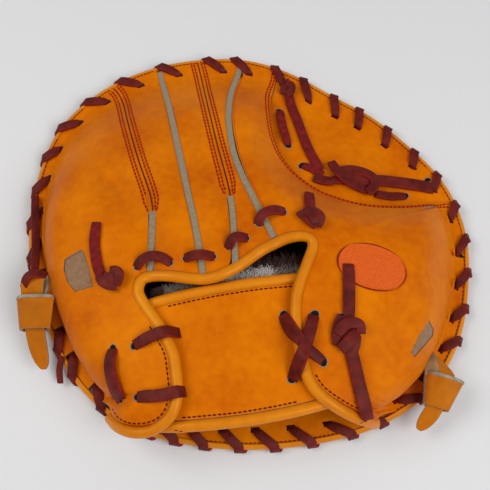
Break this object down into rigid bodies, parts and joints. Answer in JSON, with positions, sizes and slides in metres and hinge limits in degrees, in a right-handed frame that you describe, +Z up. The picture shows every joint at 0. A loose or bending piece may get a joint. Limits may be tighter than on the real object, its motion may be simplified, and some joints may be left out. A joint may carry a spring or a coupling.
{
  "type": "baseball training glove",
  "caption": "Flat round training glove of orange leather, laced all round its rim, with an open heel, a wrist strap over a soft lining, side straps and a small stitched badge.",
  "frame": {"origin": "middle of the underside of the whole glove's box, on the table that it lies on", "axes": "+Y from the heel to the fingertips, +Z up through the back of the glove, +X towards the thumb and the web"},
  "size_m": [0.26, 0.2454, 0.0557],
  "materials": {
    "orange_leather": "smooth, semi-matte",
    "rolled_leather": "smooth, slightly glossy",
    "burgundy_lace": "smooth flat lace with red cut edges",
    "red_lace": "cut side of a lace",
    "grey_felt": "fibrous",
    "pile_lining": "short pile",
    "suede": "raw flesh side",
    "stitched_badge": "close machine stitching"
  },
  "bodies": {
    "root": {"back_ring": "orange_leather", "back_middle": "orange_leather", "back_index": "orange_leather", "back_little": "orange_leather", "back_thumb": "orange_leather", "web_panel": "orange_leather", "palm": "orange_leather", "wrist_strap": "orange_leather", "side_strap_left": "orange_leather", "side_strap_right": "orange_leather", "keeper_left": "orange_leather", "keeper_right": "orange_leather", "rim_binding": "rolled_leather", "opening_binding": "rolled_leather", "strap_binding_top": "rolled_leather", "strap_binding_bottom": "rolled_leather", "rim_lace_fingers": "burgundy_lace", "rim_lace_heel": "burgundy_lace", "rim_lace_thumb": "burgundy_lace", "top_tie_1": "burgundy_lace", "top_tie_2": "burgundy_lace", "top_tie_3": "burgundy_lace", "top_tie_4": "burgundy_lace", "lobe_tie_upper": "burgundy_lace", "lobe_tie_lower": "burgundy_lace", "lobe_lace": "burgundy_lace", "cross_lace_down": "burgundy_lace", "cross_lace_up": "burgundy_lace", "tail_lace_left": "burgundy_lace", "tail_lace_right": "burgundy_lace", "tail_end_right": "burgundy_lace", "tail_lace_middle": "burgundy_lace", "web_lace_short": "burgundy_lace", "web_lace_down": "burgundy_lace", "web_lace_across": "burgundy_lace", "web_end_left": "burgundy_lace", "web_end_right": "burgundy_lace", "knot_left": "burgundy_lace", "knot_right": "burgundy_lace", "knot_middle": "burgundy_lace", "knot_web_top": "burgundy_lace", "knot_web": "burgundy_lace", "side_lace_left": "red_lace", "side_end_left": "red_lace", "welt_little": "grey_felt", "welt_ring": "grey_felt", "welt_middle": "grey_felt", "welt_index": "grey_felt", "wrist_lining": "pile_lining", "palm_lining": "pile_lining", "slot_suede_left": "suede", "slot_suede_right": "suede", "badge": "stitched_badge"}
  },
  "joints": []
}
